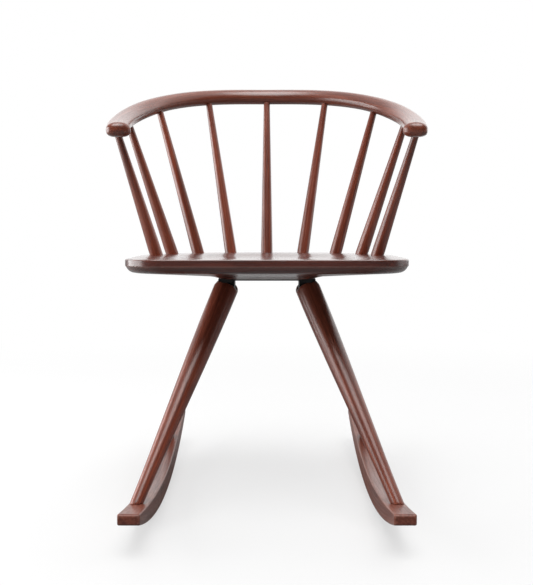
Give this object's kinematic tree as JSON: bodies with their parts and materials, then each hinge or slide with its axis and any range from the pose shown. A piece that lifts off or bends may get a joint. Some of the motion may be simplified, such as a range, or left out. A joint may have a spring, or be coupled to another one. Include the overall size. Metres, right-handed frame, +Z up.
{
  "type": "rocking chair",
  "caption": "Wooden rocking chair with a round-backed solid seat, a spindle back under one bent arm bow, splayed legs and two crescent rockers.",
  "frame": {"origin": "on the floor, on the plane of symmetry, halfway along the rockers", "axes": "+Z up, -Y the way the sitter faces, +X the sitter's left"},
  "size_m": [0.5774, 0.802, 0.7803],
  "materials": {
    "seat_wood": "dark walnut stain under a satin lacquer, grain running side to side",
    "bow_wood": "dark walnut stain under a satin lacquer, grain following the bend",
    "spindle_wood": "dark walnut stain under a satin lacquer, grain along the length",
    "leg_wood": "dark walnut stain under a satin lacquer, grain along the length",
    "rocker_wood": "dark walnut stain under a satin lacquer, grain along the length",
    "black_steel": "satin black powder coat",
    "zinc_steel": "zinc plated",
    "screw_steel": "black oxide"
  },
  "bodies": {
    "root": {"seat": "seat_wood", "arm_bow": "bow_wood", "spindle_1": "spindle_wood", "spindle_2": "spindle_wood", "spindle_3": "spindle_wood", "spindle_4": "spindle_wood", "spindle_5": "spindle_wood", "spindle_6": "spindle_wood", "spindle_7": "spindle_wood", "spindle_8": "spindle_wood", "spindle_9": "spindle_wood", "leg_front_left": "leg_wood", "leg_front_right": "leg_wood", "leg_rear_left": "leg_wood", "leg_rear_right": "leg_wood", "rocker_left": "rocker_wood", "rocker_right": "rocker_wood", "mount_plate": "black_steel", "leg_block_left": "black_steel", "leg_block_right": "black_steel", "leg_stud_front_left": "zinc_steel", "leg_stud_front_right": "zinc_steel", "leg_stud_rear_left": "zinc_steel", "leg_stud_rear_right": "zinc_steel", "plate_screw_1": "screw_steel", "plate_screw_2": "screw_steel", "plate_screw_3": "screw_steel", "plate_screw_4": "screw_steel", "plate_screw_5": "screw_steel", "plate_screw_6": "screw_steel"}
  },
  "joints": []
}
